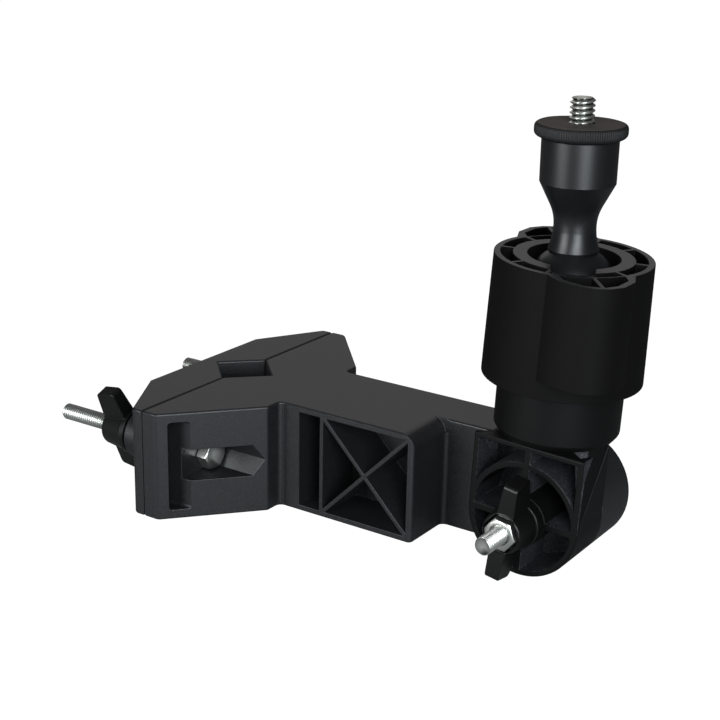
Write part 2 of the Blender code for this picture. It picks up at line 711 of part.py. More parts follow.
def make_locking_collar(plastic, axis):
    """Sleeve screwed on the stub: its lip holds the ball down and its two ears give a grip."""
    ear_base = COLLAR_BASE + EAR_BASE_RISE
    ear_growth = COLLAR_DRAFT * (COLLAR_TOP - ear_base) / (COLLAR_TOP - COLLAR_BASE)
    loops = [
        [(u, v, COLLAR_BASE) for u, v in sleeve_outline(COLLAR_DRAFT)],
        [(u, v, ear_base) for u, v in sleeve_outline(ear_growth)],
        [(u, v, ear_base + EAR_UNDERSIDE_RISE) for u, v in collar_outline(ear_growth)],
        [(u, v, COLLAR_TOP) for u, v in collar_outline(0)],
    ]
    collar = make_piece("locking_collar", loft(loops), plastic, axis)
    catch = BALL_HEIGHT + LIP_CATCH_HEIGHT
    catch_radius = math.sqrt(SOCKET_RADIUS ** 2 - LIP_CATCH_HEIGHT ** 2)
    shoulder = STUB_TOP + 2 * TOUCH_GAP
    bore_radius = STUB_RADIUS + TOUCH_GAP
    cap_base = math.degrees(math.asin((shoulder - BALL_HEIGHT + STUB_WALL) / SOCKET_RADIUS))
    cap_end = math.degrees(math.asin(LIP_CATCH_HEIGHT / SOCKET_RADIUS))
    bore = [(0, COLLAR_BASE - PASS), (bore_radius, COLLAR_BASE - PASS), (bore_radius, shoulder)]
    bore += arc((0, BALL_HEIGHT), SOCKET_RADIUS, cap_base, cap_end, 6)[:-1]
    bore += [(catch_radius, catch), (LIP_INNER_RADIUS, COLLAR_TOP), (LIP_INNER_RADIUS, COLLAR_TOP + PASS)]
    bore += [(0, COLLAR_TOP + PASS)]
    cut(collar, "bore", turned(bore))

    groove_floor = COLLAR_TOP - COLLAR_GROOVE_DEPTH
    ceiling = groove_floor - COLLAR_FLOOR
    sleeve_end = STUB_BASE + TOUCH_GAP
    skirt = [
        (0, sleeve_end), (LIP_OUTER_RADIUS, sleeve_end), (LIP_OUTER_RADIUS, ceiling),
        (COLLAR_INNER_RADIUS, ceiling), (COLLAR_INNER_RADIUS, COLLAR_BASE - PASS), (0, COLLAR_BASE - PASS),
    ]
    cut(collar, "skirt", turned(skirt))
    for number, sector in enumerate(groove_sectors()):
        cut(collar, f"groove_{number}", prism("Z", sector, groove_floor, COLLAR_TOP + PASS))
    mouth_floor = COLLAR_TOP - EAR_POCKET_DEPTH
    core_radius = COLLAR_RADIUS + COLLAR_DRAFT + EAR_CORE_CLEARANCE
    for word, turn in (("front", EAR_ANGLE), ("rear", EAR_ANGLE + 180)):
        for number, pocket in enumerate(ear_pockets(turn, EAR_INNER_RADIUS)):
            cut(collar, f"ear_{word}_{number}", prism("Z", pocket, mouth_floor, COLLAR_TOP + PASS))
        for number, pocket in enumerate(ear_pockets(turn, core_radius)):
            core = prism("Z", pocket, ear_base - PASS, mouth_floor - COLLAR_FLOOR)
            cut(collar, f"ear_core_{word}_{number}", core)
    notch = rectangle(LIP_INNER_RADIUS / 2, LIP_OUTER_RADIUS, -NOTCH_WIDTH / 2, NOTCH_WIDTH / 2)
    notch = turned_points(notch, NOTCH_ANGLE)
    cut(collar, "notch", prism("Z", notch, COLLAR_TOP - NOTCH_DEPTH, COLLAR_TOP + PASS))
    return collar


def lower_flank(waist, flare, steps=5):
    """Arc from the flare up to the waist, upright at the waist."""
    out = flare[0] - waist[0]
    down = waist[1] - flare[1]
    slope = math.degrees(2 * math.atan2(out, down))
    radius = down / math.sin(math.radians(slope))
    return arc((waist[0] + radius, waist[1]), radius, 180 + slope, 180, steps)


def upper_flank(waist, foot, slope, steps=5):
    """Arc upright at the waist that leans out to the slope, from where a straight cone meets the foot."""
    out = foot[0] - waist[0]
    rise = foot[1] - waist[1]
    lean = math.radians(slope)
    radius = (rise * math.tan(lean) - out) / (math.sin(lean) * math.tan(lean) - 1 + math.cos(lean))
    return arc((waist[0] + radius, waist[1]), radius, 180, 180 - slope, steps)


def make_ball_stem(plastic, axis):
    """Ball, waisted stem and straight cup, with a blind hole for the camera stud."""
    neck_angle = math.degrees(math.acos(STEM_NECK_RADIUS / BALL_RADIUS))
    ball = arc((0, 0), BALL_RADIUS, -90, neck_angle, 16)
    flare = (STEM_FLARE_RADIUS, STEM_FLARE_HEIGHT)
    waist = (STEM_WAIST_RADIUS, STEM_WAIST_HEIGHT)
    foot = (CUP_FOOT_RADIUS, CUP_FOOT_HEIGHT)
    profile = [(0, -BALL_RADIUS)] + ball[1:]
    profile += lower_flank(waist, flare) + upper_flank(waist, foot, CONE_SLOPE)[1:] + [foot]
    profile += [(CUP_RADIUS, CUP_TOP - EDGE_CHAMFER), (CUP_RADIUS - EDGE_CHAMFER, CUP_TOP)]
    hole = STUD_RADIUS + TOUCH_GAP
    floor = CUP_TOP - STUD_EMBEDDED
    profile += [(hole, CUP_TOP), (hole, floor), (0, floor)]
    return make_piece("ball_stem", turned(profile), plastic, axis)


def make_camera_pad(rubber, axis):
    """Rubber disc with a rounded edge, round the stud."""
    base = CUP_TOP + TOUCH_GAP
    top = base + PAD_THICKNESS
    shoulder = PAD_RADIUS - PAD_EDGE_RADIUS
    low = arc((shoulder, base + PAD_EDGE_RADIUS), PAD_EDGE_RADIUS, -90, 0, 3)
    high = arc((shoulder, top - PAD_EDGE_RADIUS), PAD_EDGE_RADIUS, 0, 90, 3)
    hole = STUD_RADIUS + TOUCH_GAP
    section = [(hole, base)] + low + high + [(hole, top)]
    return make_piece("camera_pad", turned(section, closed=True), rubber, axis)


def make_camera_stud(steel, axis):
    """Camera stud, sunk in the cup and proud of the pad."""
    low = CUP_TOP - STUD_EMBEDDED + TOUCH_GAP
    tip = CUP_TOP + TOUCH_GAP + PAD_THICKNESS + STUD_PROUD
    profile = [
        (0, low), (STUD_RADIUS, low), (STUD_RADIUS, tip - STUD_POINT),
        (STUD_RADIUS - STUD_POINT, tip), (0, tip),
    ]
    return make_piece("camera_stud", turned(profile, SMALL_SIDES), steel, axis)


def build():
    """Build the mount."""
    clear_scene()
    plastic = make_material("moulded black nylon", (0.024, 0.024, 0.028), 0.0, 0.5)
    knob_plastic = make_material("moulded black knob plastic", (0.012, 0.012, 0.012), 0.0, 0.4)
    steel = make_material("zinc plated steel", (0.62, 0.64, 0.6), 1.0, 0.3)
    rubber = make_material("black rubber", (0.01, 0.01, 0.01), 0.0, 0.85)

    make_clamp_body(plastic)
    make_clamp_jaw(plastic)
    for side, word, turn in ((-1, "front", FRONT_KNOB_TURN), (1, "rear", REAR_KNOB_TURN)):
        place = (0, side * CLAMP_BOLT_OFFSET, MIDDLE_HEIGHT)
        axis = bolt_axis(f"clamp_bolt_axis_{word}", place, (-1, 0, 0))
        make_fasteners(
            "clamp_{}_" + word, axis, steel, knob_plastic, -BOLT_POCKET_FLOOR - TOUCH_GAP,
            CLAMP_BOLT_TIP, JAW_BOSS_FACE, turn,
        )

    hinge = Matrix.Translation((HINGE_X, 0, MIDDLE_HEIGHT))
    axis = bolt_axis("hinge_bolt_axis", hinge.translation, (0, -1, 0))
    head_seat = HINGE_POCKET_DEPTH - ARM_HALF_WIDTH - TOUCH_GAP
    make_fasteners(
        "hinge_{}", axis, steel, knob_plastic, head_seat, HINGE_BOLT_TIP, PLATE_FACE, HINGE_KNOB_TURN,
    )

    lean = Matrix.Rotation(math.radians(HEAD_LEAN), 4, "Y")
    tilt_axis = make_empty("tilt_axis", None, hinge @ lean)
    make_tilt_base(plastic, tilt_axis)
    make_locking_collar(plastic, tilt_axis)
    make_ball_seat(knob_plastic, tilt_axis)
    ball_centre = make_empty(
        "ball_centre", tilt_axis, Matrix.Translation((0, 0, BALL_HEIGHT)) @ lean.inverted()
    )
    make_ball_stem(plastic, ball_centre)
    make_camera_pad(rubber, ball_centre)
    make_camera_stud(steel, ball_centre)


build()
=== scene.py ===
# %% [markdown]
# Trail camera mount
# A clamp of moulded black nylon grips a post. Its ribbed arm carries a knuckle with a wing knob, and
# the knuckle carries a ball head that ends in a rubber pad and a quarter-inch camera stud. The solids
# come ready made and to size. This file gives them their finish and adds what was too fine for them:
# threads, chamfered nuts, ribbed rubber and soft moulded edges.

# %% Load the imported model
import json
import math

import bmesh
import bpy
import numpy as np
from mathutils import Matrix, Vector


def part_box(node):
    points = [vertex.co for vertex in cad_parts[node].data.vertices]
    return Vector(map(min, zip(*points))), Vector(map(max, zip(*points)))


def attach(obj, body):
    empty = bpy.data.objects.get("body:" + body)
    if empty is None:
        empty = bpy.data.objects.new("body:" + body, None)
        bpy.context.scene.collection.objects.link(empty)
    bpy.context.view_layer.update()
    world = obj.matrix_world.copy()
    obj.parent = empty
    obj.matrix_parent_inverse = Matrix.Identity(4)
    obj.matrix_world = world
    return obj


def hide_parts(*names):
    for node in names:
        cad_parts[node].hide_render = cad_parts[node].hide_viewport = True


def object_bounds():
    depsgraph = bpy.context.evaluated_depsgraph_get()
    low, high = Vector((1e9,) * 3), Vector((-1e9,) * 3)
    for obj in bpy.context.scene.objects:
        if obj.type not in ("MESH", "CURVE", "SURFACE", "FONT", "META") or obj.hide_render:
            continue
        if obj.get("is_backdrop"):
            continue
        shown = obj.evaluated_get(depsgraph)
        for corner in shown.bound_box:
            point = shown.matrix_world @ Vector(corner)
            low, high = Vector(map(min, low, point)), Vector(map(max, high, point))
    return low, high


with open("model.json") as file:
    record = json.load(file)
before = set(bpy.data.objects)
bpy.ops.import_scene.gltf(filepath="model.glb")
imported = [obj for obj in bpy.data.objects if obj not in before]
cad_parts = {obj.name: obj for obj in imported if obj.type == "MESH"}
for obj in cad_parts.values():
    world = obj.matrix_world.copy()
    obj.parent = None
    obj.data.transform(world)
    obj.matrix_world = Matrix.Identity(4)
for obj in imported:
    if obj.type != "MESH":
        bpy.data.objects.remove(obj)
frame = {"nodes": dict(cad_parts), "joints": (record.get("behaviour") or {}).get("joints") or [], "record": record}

cad_low, cad_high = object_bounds()
joints = {joint["name"]: joint for joint in frame["joints"]}
body_of_node = {
    node: body for body, nodes in frame["record"]["behaviour"]["bodies"].items() for node in nodes
}
MM = 0.001
print("nodes:", len(frame["nodes"]), "size in mm:", [round(v / MM, 1) for v in cad_high - cad_low])

# %% [markdown]
# The camera comes first, because every later choice is judged through it. A product shot like this
# one is taken from about 40 cm with a lens a little longer than normal, so the clamp at the back
# looks smaller than the knuckle in front. The camera could be aimed by eye. Here its direction,
# distance and shift across the view were worked out from the known corners of the clamp and arm.

# %% Camera at the photograph's viewpoint
CAMERA_AZIMUTH = 33.94
CAMERA_ELEVATION = 18.58
CAMERA_ROLL = -1.11
CAMERA_DISTANCE = 430.3 * MM
CAMERA_ACROSS = -6.32 * MM
CAMERA_UP = 14.11 * MM
FOCAL_PIXELS = 1508.84
IMAGE_PIXELS = 720
SENSOR_WIDTH = 36.0
AIM = Vector((50 * MM, 0, 30 * MM))


def camera_axes(azimuth, elevation, roll):
    """Right, up and back directions of a camera, from three angles in degrees."""
    a, e, r = (math.radians(angle) for angle in (azimuth, elevation, roll))
    right = Vector((math.cos(a), math.sin(a), 0))
    back = Vector((math.sin(a) * math.cos(e), -math.cos(a) * math.cos(e), math.sin(e)))
    up = back.cross(right)
    return (
        math.cos(r) * right - math.sin(r) * up,
        math.sin(r) * right + math.cos(r) * up,
        back,
    )


right, up, back = camera_axes(CAMERA_AZIMUTH, CAMERA_ELEVATION, CAMERA_ROLL)
camera_data = bpy.data.cameras.new("camera")
camera_data.sensor_width = SENSOR_WIDTH
camera_data.lens = SENSOR_WIDTH * FOCAL_PIXELS / IMAGE_PIXELS
camera = bpy.data.objects.new("camera", camera_data)
bpy.context.scene.collection.objects.link(camera)
place = AIM + CAMERA_ACROSS * right + CAMERA_UP * up + CAMERA_DISTANCE * back
camera.matrix_world = Matrix.Translation(place) @ Matrix((right, up, back)).transposed().to_4x4()
bpy.context.scene.camera = camera
print("lens in mm:", round(camera_data.lens, 1))

# %% [markdown]
# Colours are written as the sRGB hex values that a painter would pick on a screen, and one function
# turns them to the linear values that a renderer adds and multiplies. Patterns are written by their
# real size in millimetres.

# %% Colour, scale and node helpers


def linear(hex_colour):
    """Linear RGB of an sRGB hex colour: each channel undoes the screen's gamma curve."""
    channels = [int(hex_colour[first:first + 2], 16) / 255 for first in (0, 2, 4)]
    return [c / 12.92 if c <= 0.04045 else ((c + 0.055) / 1.055) ** 2.4 for c in channels]


def per_mm(size):
    """Texture scale at which one cell of a pattern is this many millimetres across."""
    return 1 / (size * MM)


def add(tree, kind, inputs=(), **settings):
    """Add one node; inputs pairs a socket's name with a value or with another node's output."""
    node = tree.nodes.new(kind)
    for name, value in settings.items():
        setattr(node, name, value)
    for name, value in dict(inputs).items():
        if isinstance(value, bpy.types.NodeSocket):
            tree.links.new(value, node.inputs[name])
        else:
            node.inputs[name].default_value = value
    return node


def shader_tree(name):
    """Empty material with its Principled shader and the object's own coordinates."""
    material = bpy.data.materials.new(name)
    material.use_nodes = True
    tree = material.node_tree
    shader = tree.nodes["Principled BSDF"]
    place = add(tree, "ShaderNodeTexCoord").outputs["Object"]
    return material, tree, shader, place


# %% [markdown]
# The clamp, arm and knuckle are injection moulded in glass-filled nylon. It leaves the mould with a
# fine spark-eroded grain that scatters light, so level faces look grey and faces turned away from
# the lamps look black. Grain could be a picture, but a noise pattern through a bump node holds at
# any distance. A broad, faint second noise stands for the flow marks of the mould.

# %% Moulded plastics
GRAIN_MM = 0.45
FLOW_MM = 14.0


def moulded(name, colours, roughness, shine, grain_depth, grain_mm=GRAIN_MM, fleck=None):
    """Moulded plastic: a dark colour with faint flow marks, and a bump of fine mould grain.

    Flecks, if it has any, are the peaks of the same grain, rubbed pale; the pale flecks of the pocket walls also
    stand in for light falling on them, as painted highlight.
    """
    material, tree, shader, place = shader_tree(name)
    flow = add(tree, "ShaderNodeTexNoise", {"Vector": place, "Scale": per_mm(FLOW_MM), "Detail": 3.0})
    mix = add(tree, "ShaderNodeMix", {"Factor": flow.outputs["Fac"]}, data_type="RGBA")
    for socket, colour in zip((6, 7), colours):
        mix.inputs[socket].default_value = (*linear(colour), 1)
    colour = mix.outputs[2]
    grain = add(tree, "ShaderNodeTexNoise", {"Vector": place, "Scale": per_mm(grain_mm), "Detail": 2.0})
    if fleck:
        peaks = add(tree, "ShaderNodeMapRange", {
            "Value": grain.outputs["Fac"], "From Min": 0.5, "From Max": 0.68,
        })
        flecks = add(tree, "ShaderNodeMix", {"Factor": peaks.outputs["Result"]}, data_type="RGBA")
        tree.links.new(colour, flecks.inputs[6])
        flecks.inputs[7].default_value = (*linear(fleck), 1)
        colour = flecks.outputs[2]
    tree.links.new(colour, shader.inputs["Base Color"])
    bump = add(tree, "ShaderNodeBump", {
        "Height": grain.outputs["Fac"], "Strength": 1.0, "Distance": grain_depth * MM,
    })
    tree.links.new(bump.outputs["Normal"], shader.inputs["Normal"])
    shader.inputs["Roughness"].default_value = roughness
    shader.inputs["Specular IOR Level"].default_value = shine
    return material


nylon = moulded(
    "glass-filled nylon, spark-eroded grain", ("131314", "1b1b1d"), 0.42, 0.62, 0.04, fleck="262629",
)
# The knuckle's nylon is a darker, duller copy of the clamp's nylon: painted shade.
shaded_knuckle_nylon = moulded("glass-filled nylon, darker copy as painted shade", ("0a0a0a", "0f0f0f"), 0.48, 0.16, 0.02)
# The pocket walls' coarse grain is their own; their pale flecks are partly painted highlight where light falls.
coarse_nylon_with_painted_light = moulded(
    "glass-filled nylon, coarse pocket wall", ("121214", "1c1c20"), 0.45, 0.6, 0.08, 0.32, fleck="58585e",
)
collar_plastic = moulded("ABS, matt moulded", ("0d0d0c", "11110f"), 0.62, 0.08, 0.015)
stem_plastic = moulded("acetal, satin turned", ("0c0d0e", "131415"), 0.35, 0.6, 0.02)
knob_plastic = moulded("ABS, smooth moulded", ("0b0b0a", "10100f"), 0.34, 0.4, 0.01)
plastics = (nylon, shaded_knuckle_nylon, coarse_nylon_with_painted_light, collar_plastic, stem_plastic, knob_plastic)
print("moulded plastics:", [material.name for material in plastics])

# %% [markdown]
# The bolts and nuts are steel with a bright zinc plating: a pale, faintly green metal whose fine
# spots break up the reflections. The pad is soft black rubber, and its face holds some dust.

# %% Zinc plated steel and rubber


def zinc_plated():
    """Bright zinc on steel: its roughness wanders with the plating, and the thread valleys get a dark colour as
    painted shade.
    """
    material, tree, shader, place = shader_tree("steel, bright zinc plated")
    shader.inputs["Metallic"].default_value = 1.0
    valley_shade = add(tree, "ShaderNodeAttribute", attribute_name="valley_shade")
    mix = add(tree, "ShaderNodeMix", {"Factor": valley_shade.outputs["Fac"]}, data_type="RGBA")
    mix.inputs[6].default_value = (*linear("eef0ea"), 1)
    # The dark second colour, weighted by thread depth, is painted shade in the thread valleys.
    mix.inputs[7].default_value = (*linear("2e302b"), 1)
    tree.links.new(mix.outputs[2], shader.inputs["Base Color"])
    spots = add(tree, "ShaderNodeTexNoise", {"Vector": place, "Scale": per_mm(0.8), "Detail": 3.0})
    rough = add(tree, "ShaderNodeMapRange", {
        "Value": spots.outputs["Fac"], "To Min": 0.25, "To Max": 0.42,
    })
    tree.links.new(rough.outputs["Result"], shader.inputs["Roughness"])
    return material


def soft_rubber(name, colour, roughness):
    """Moulded rubber: dark, with a fine pebbled skin."""
    material, tree, shader, place = shader_tree(name)
    shader.inputs["Base Color"].default_value = (*linear(colour), 1)
    shader.inputs["Roughness"].default_value = roughness
    pebbles = add(tree, "ShaderNodeTexNoise", {"Vector": place, "Scale": per_mm(0.5), "Detail": 3.0})
    bump = add(tree, "ShaderNodeBump", {
        "Height": pebbles.outputs["Fac"], "Strength": 1.0, "Distance": 0.05 * MM,
    })
    tree.links.new(bump.outputs["Normal"], shader.inputs["Normal"])
    return material


zinc = zinc_plated()
rubber = soft_rubber("rubber, moulded dark edge", "070606", 0.62)
dusty_rubber = soft_rubber("rubber, dusty face", "453e39", 0.8)
print("metal and rubber:", [material.name for material in (zinc, rubber, dusty_rubber)])

# %% [markdown]
# No moulded edge is knife sharp, and the thin pale lines along the arm are light caught on edges
# that are rounded by about a fifth of a millimetre. A bevel shader could fake them, but real
# rounding shows in the outline too. So each moulded solid is copied, its triangles are merged back
# into whole faces, and a Bevel modifier rounds what is left of its edges. One short edge would hold
# back the rounding of the whole piece, so the modifier's clamp is off and the shortest edges are
# welded first. A wide bevel on an unclamped, pointed corner would throw out a spike, so the width
# stays small, and it is smallest on the long body.

# %% Soft-edged copies of the moulded solids
SHARP_ANGLE = 32
FLAT_ANGLE = 0.6
WELD_MM = 0.05


def finish_piece(piece, node, material):
    """Hand a piece its body and its material, and let it stand for its node."""
    piece.data.materials.append(material)
    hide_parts(node)
    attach(piece, body_of_node[node])
    return piece


def soft_copy(node, material, edge_mm, weld_mm=WELD_MM):
    """Copy of a CAD node with whole faces and edges rounded to edge_mm.

    Only the faces of a curved wall are shaded smooth: those that bend gently to a neighbour.
    """
    mesh = frame["nodes"][node].data.copy()
    mesh.materials.clear()
    work = bmesh.new()
    work.from_mesh(mesh)
    bmesh.ops.remove_doubles(work, verts=work.verts[:], dist=weld_mm * MM)
    bmesh.ops.dissolve_limit(
        work, angle_limit=math.radians(FLAT_ANGLE), verts=work.verts[:], edges=work.edges[:],
    )
    for face in work.faces:
        bends = [math.degrees(edge.calc_face_angle(0)) for edge in face.edges]
        face.smooth = any(FLAT_ANGLE < bend < SHARP_ANGLE for bend in bends)
    work.to_mesh(mesh)
    work.free()
    mesh.set_sharp_from_angle(angle=math.radians(SHARP_ANGLE))
    piece = bpy.data.objects.new(f"{node}_moulding", mesh)
    bpy.context.scene.collection.objects.link(piece)
    bevel = piece.modifiers.new("rounded edges", "BEVEL")
    bevel.width = edge_mm * MM
    bevel.segments = 2
    bevel.limit_method = "ANGLE"
    bevel.angle_limit = math.radians(SHARP_ANGLE)
    bevel.use_clamp_overlap = False
    weighted = piece.modifiers.new("large faces lead the shading", "WEIGHTED_NORMAL")
    weighted.keep_sharp = True
    return finish_piece(piece, node, material)


mouldings = {
    "clamp_body": soft_copy("clamp_body", nylon, 0.15, weld_mm=0.12),
    "clamp_jaw": soft_copy("clamp_jaw", nylon, 0.2),
    "tilt_base": soft_copy("tilt_base", shaded_knuckle_nylon, 0.2),
    "locking_collar": soft_copy("locking_collar", collar_plastic, 0.18),
    "clamp_knob_front": soft_copy("clamp_knob_front", knob_plastic, 0.2),
    "clamp_knob_rear": soft_copy("clamp_knob_rear", knob_plastic, 0.2),
    "hinge_knob": soft_copy("hinge_knob", knob_plastic, 0.2),
    "ball_seat": soft_copy("ball_seat", stem_plastic, 0.15),
}
for node in ("clamp_washer_front", "clamp_washer_rear", "hinge_washer"):
    mouldings[node] = soft_copy(node, zinc, 0.12)
print("soft-edged copies:", len(mouldings))

# %% [markdown]
# One moulding can carry two finishes. The walls deep inside the knuckle's pockets are coarser than its
# outer faces, because the mould's inserts were left rough, and where they do not look down their pale
# flecks are partly painted highlight of the light that falls on them. The collar's top faces near its rim
# get a lighter, shinier finish as painted sheen, while its sides stay matt. Each face is chosen by where
# it looks and where it lies, and gets a second material.

# %% Second finishes


def refinish(piece, material, normal_z, inside):
    """Give a second material to faces whose upward share of the normal and whose centre fit.

    normal_z is a (low, high) range, and inside is a test on arrays of x, y and z in metres.
    """
    mesh = piece.data
    normals = np.empty(len(mesh.polygons) * 3)
    centres = np.empty(len(mesh.polygons) * 3)
    mesh.polygons.foreach_get("normal", normals)
    mesh.polygons.foreach_get("center", centres)
    upward = normals.reshape(-1, 3)[:, 2]
    chosen = (upward > normal_z[0]) & (upward < normal_z[1]) & inside(*centres.reshape(-1, 3).T)
    mesh.materials.append(material)
    mesh.polygons.foreach_set("material_index", chosen.astype(int) * (len(mesh.materials) - 1))
    return int(chosen.sum())


collar_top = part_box("locking_collar")[1].z
hinge_x = joints["arm_tilt"]["pos_m"][0]
hinge_z = joints["arm_tilt"]["pos_m"][2]


def in_pockets(x, y, z):
    """Behind the knuckle's front face, ahead of its floor and inside its outer wall."""
    from_hinge = np.hypot(x - hinge_x, z - hinge_z)
    between = (y > -15 * MM) & (y < -1 * MM) & (from_hinge > 7.5 * MM) & (z < hinge_z + 18.5 * MM)
    return between & (np.abs(x - hinge_x) < 15 * MM) & ((z > hinge_z) | (from_hinge < 15 * MM))


print("coarse pocket faces:", refinish(mouldings["tilt_base"], coarse_nylon_with_painted_light, (-0.5, 1.1), in_pockets))
# The collar's top faces near the rim get the lighter, shinier nylon: painted sheen.
print("rim faces with painted sheen:", refinish(
    mouldings["locking_collar"], nylon, (0.9, 1.1), lambda x, y, z: z > collar_top - 4 * MM,
))

# %% [markdown]
# Turned and threaded pieces are surfaces on a grid: one direction runs round the axis and the other
# runs along the profile. The grid is worked out as whole arrays, and one function makes any grid
# into a closed mesh.

# %% Grids into meshes


def grid_piece(name, points, closed_rows=False, sharp_degrees=40, valley_shade=None):
    """Mesh of a (rows, columns, 3) grid whose columns close round an axis.

    Quad (r, c) joins points (r, c), (r, c+1), (r+1, c+1), (r+1, c), and the last column meets the first.
    A (rows, columns) array of valley depths, from 0 to 1, is kept as an attribute, by which the material paints
    shade into the thread valleys.
    """
    rows, columns = points.shape[:2]
    row = np.arange(rows if closed_rows else rows - 1)[:, None]
    column = np.arange(columns)[None, :]
    after_row = (row + 1) % rows
    after_column = (column + 1) % columns
    quads = np.stack([
        row * columns + column, row * columns + after_column,
        after_row * columns + after_column, after_row * columns + column,
    ], axis=-1).reshape(-1, 4)
    mesh = bpy.data.meshes.new(name)
    mesh.from_pydata(points.reshape(-1, 3).tolist(), [], quads.tolist())
    if valley_shade is not None:
        depths = mesh.attributes.new("valley_shade", "FLOAT", "POINT")
        depths.data.foreach_set("value", valley_shade.astype(np.float32).ravel())
    work = bmesh.new()
    work.from_mesh(mesh)
    bmesh.ops.remove_doubles(work, verts=work.verts[:], dist=1e-7)
    bmesh.ops.recalc_face_normals(work, faces=work.faces[:])
    work.to_mesh(mesh)
    work.free()
    mesh.shade_smooth()
    mesh.set_sharp_from_angle(angle=math.radians(sharp_degrees))
    piece = bpy.data.objects.new(name, mesh)
    bpy.context.scene.collection.objects.link(piece)
    return piece


def round_grid(radius, height, angle, origin, along, side):
    """Points at a radius, height and angle about an axis: origin + height * along + radius * spoke."""
    along = np.array(along, float)
    side = np.array(side, float)
    other = np.cross(along, side)
    spokes = np.cos(angle)[..., None] * side + np.sin(angle)[..., None] * other
    return np.array(origin) + height[..., None] * along + radius[..., None] * spokes


def angles_round(columns):
    """Equal angles round a circle, without the repeated last one."""
    return np.arange(columns) * 2 * np.pi / columns


# %% [markdown]
# A screw thread is a ridge that climbs one pitch in each turn. At angle a and height h its phase is
# h / pitch - a / turn, and the radius follows a triangle wave of that phase. At the start the ridge
# grows out of the plain shank, and at the tip a chamfer cuts it down.

# %% Threads
THREAD_DEPTH = 0.61


def thread_radius(angle, height, major, pitch, start, tip):
    """Radius of a threaded rod: major minus depth times (1 - triangle wave of the phase)."""
    depth = THREAD_DEPTH * pitch
    phase = (height / pitch - angle / (2 * np.pi)) % 1
    crest = np.clip(1.25 * (1 - np.abs(2 * phase - 1)) - 0.1, 0, 1)
    grown = np.clip((height - start) / pitch, 0, 1)
    radius = major - depth * (1 - crest) * grown
    return np.minimum(radius, major - 0.75 * depth + 0.9 * (tip - height))


def valley_depth(radius, major, pitch):
    """How deep a point of a thread lies, squared, as the mask of the painted valley shade: 0 at the crest, and
    near 1 only at the root.
    """
    return np.clip((major - radius) / (THREAD_DEPTH * pitch), 0, 1) ** 2


def rod_rows(start, end, pitch, rows_per_turn=10):
    """Heights along a threaded rod, close enough to draw its ridge."""
    return np.linspace(start, end, int(round((end - start) / pitch * rows_per_turn)) + 1)


M5_PITCH = 0.8 * MM
CAMERA_PITCH = 25.4 / 20 * MM
print("thread depths in mm:", [round(THREAD_DEPTH * pitch / MM, 2) for pitch in (M5_PITCH, CAMERA_PITCH)])

# %% [markdown]
# A bolt head or nut is a hexagon whose corners are turned off by a cone. Round the axis the
# hexagon's radius is half its width across flats over the cosine of the angle to the nearest flat's
# middle, and the cone's radius grows with the distance below the face. The smaller of the two is
# the surface, and where they meet are the curved edges that every nut shows.

# %% Hexagon heads, bolts and nuts
HEX_HALF = 4.0 * MM
HEAD_HEIGHT = 3.5 * MM
ROD_RADIUS = 2.45 * MM
BORE_RADIUS = 2.56 * MM
BORE_LEAD = 0.35 * MM
CONE_START = 0.96
CONE_SLOPE = 1.7
CONE_DEPTHS = np.array([0, 0.02, 0.05, 0.1, 0.16, 0.23, 0.31, 0.4, 0.5]) * MM
HEX_COLUMNS = 72


def hexagon_radius(angle):
    """Half the width across flats over the cosine of the angle to the nearest flat's middle."""
    sixth = np.pi / 3
    return HEX_HALF / np.cos((angle + sixth / 2) % sixth - sixth / 2)


def hex_radius(angle, below):
    """Hexagon cut by a cone that starts just inside the flats at the face, at a depth below it."""
    return np.minimum(hexagon_radius(angle), HEX_HALF * CONE_START + CONE_SLOPE * below)


def bolt_piece(node, joint, thread_length):
    """One surface from the head's face, down its flats, along the shank and its thread to the tip."""
    origin = Vector(joint["pos_m"])
    along = Vector(joint["axis"]).normalized()
    low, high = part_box(node)
    face, tip = sorted((Vector(corner) - origin).dot(along) for corner in (low, high))
    seat = face + HEAD_HEIGHT
    start = tip - thread_length
    shank = rod_rows(start, tip, M5_PITCH)
    angle = angles_round(HEX_COLUMNS)[None, :]
    head_rows = len(CONE_DEPTHS)
    height = np.concatenate([[face], face + CONE_DEPTHS, [seat, seat], [start - M5_PITCH], shank, [tip]])
    height = np.repeat(height[:, None], HEX_COLUMNS, axis=1)
    radius = np.zeros_like(height)
    radius[1:1 + head_rows] = hex_radius(angle, height[1:1 + head_rows] - face)
    radius[1 + head_rows] = hexagon_radius(angle)
    radius[2 + head_rows:4 + head_rows] = ROD_RADIUS
    rod = slice(4 + head_rows, 4 + head_rows + len(shank))
    angle = np.broadcast_to(angle, height.shape)
    radius[rod] = thread_radius(angle[rod], height[rod], ROD_RADIUS, M5_PITCH, start, tip)
    points = round_grid(radius, height, angle, origin, along, (0, 0, 1))
    valley_shade = np.zeros_like(radius)
    valley_shade[rod] = valley_depth(radius[rod], ROD_RADIUS, M5_PITCH)
    return finish_piece(grid_piece(f"{node}_threaded", points, valley_shade=valley_shade), node, zinc)


